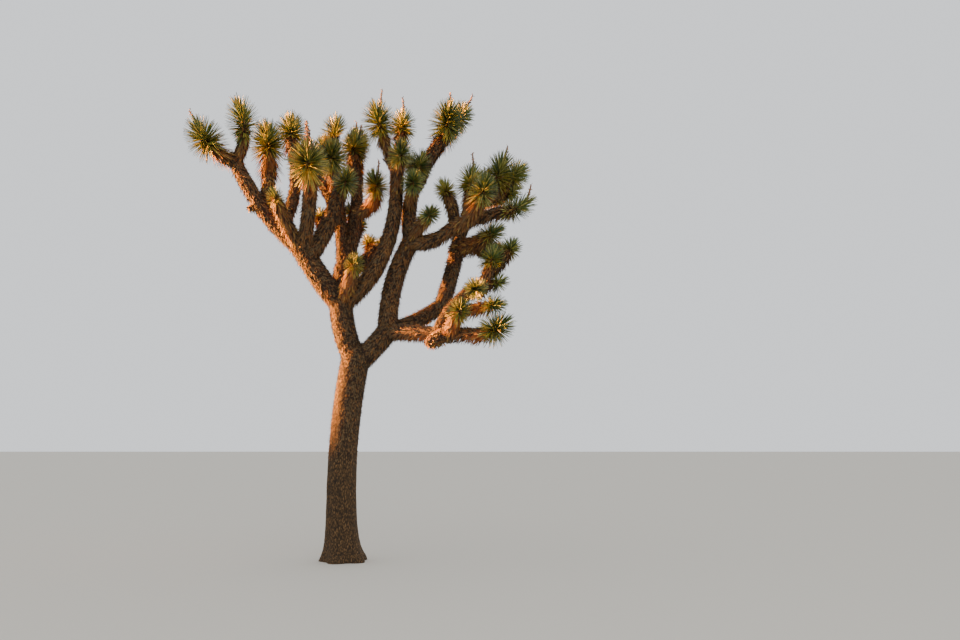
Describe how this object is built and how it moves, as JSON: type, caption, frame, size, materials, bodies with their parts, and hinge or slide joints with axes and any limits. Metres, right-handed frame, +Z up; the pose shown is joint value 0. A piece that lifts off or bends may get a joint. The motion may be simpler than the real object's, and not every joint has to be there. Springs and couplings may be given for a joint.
{
  "type": "joshua tree",
  "caption": "Whole joshua tree: a leaning trunk that forks into shaggy upturned limbs, each ending in a ball of dagger leaves, some with dry flower stalks.",
  "frame": {"origin": "middle of the flat cut under the trunk, at ground level", "axes": "+Z up the tree, +X to the right and +Y away from the viewer as the tree is seen in the picture"},
  "size_m": [4.3484, 2.8733, 6.2275],
  "materials": {
    "bark": "rough, furrowed grey-brown bark",
    "dead_leaves": "matt coat of dry brown leaves pressed down along the limb",
    "leaves": "satin blue-green dagger leaves with yellow edges"
  },
  "bodies": {
    "root": {"trunk": "bark", "left_bough": "dead_leaves", "right_bough": "dead_leaves", "left_arm": "dead_leaves", "left_arm_upper": "dead_leaves", "left_front_limb": "dead_leaves", "left_rear_limb": "dead_leaves", "inner_left_limb": "dead_leaves", "rear_bough": "dead_leaves", "rear_left_limb": "dead_leaves", "rear_middle_limb": "dead_leaves", "rear_low_limb": "dead_leaves", "centre_limb": "dead_leaves", "right_arm": "dead_leaves", "right_arm_upper": "dead_leaves", "top_right_limb": "dead_leaves", "crossing_limb": "dead_leaves", "crossing_limb_end": "dead_leaves", "low_rear_limb": "dead_leaves", "low_rear_riser": "dead_leaves", "far_right_limb": "dead_leaves", "low_front_limb": "dead_leaves", "low_front_riser": "dead_leaves", "back_left_limb": "dead_leaves", "back_right_limb": "dead_leaves", "tuft_left_end": "leaves", "tuft_left_top": "leaves", "tuft_left_inner": "leaves", "tuft_left_low": "leaves", "tuft_left_rear": "leaves", "tuft_left_front": "leaves", "tuft_inner_left": "leaves", "tuft_behind_inner_left": "leaves", "tufts_rear_left": "leaves", "tuft_rear_middle": "leaves", "tuft_rear_side": "leaves", "tufts_rear_low": "leaves", "tufts_rear_foot": "leaves", "tuft_fork": "leaves", "tuft_centre_top": "leaves", "tuft_centre_rear": "leaves", "tuft_centre_front": "leaves", "tuft_right_upper": "leaves", "tuft_right_front": "leaves", "tuft_right_low": "leaves", "tufts_top_right": "leaves", "tuft_crossing_inner": "leaves", "tufts_crossing_middle": "leaves", "tuft_crossing_end": "leaves", "tufts_far_right": "leaves", "tufts_right_rear": "leaves", "tufts_riser_end": "leaves", "tufts_riser_side": "leaves", "tuft_low_inner": "leaves", "tuft_low_upper": "leaves", "tuft_low_end": "leaves", "tufts_back_left": "leaves", "tuft_back_middle": "leaves", "tufts_back_right": "leaves", "tufts_back_far_right": "leaves"}
  },
  "joints": []
}
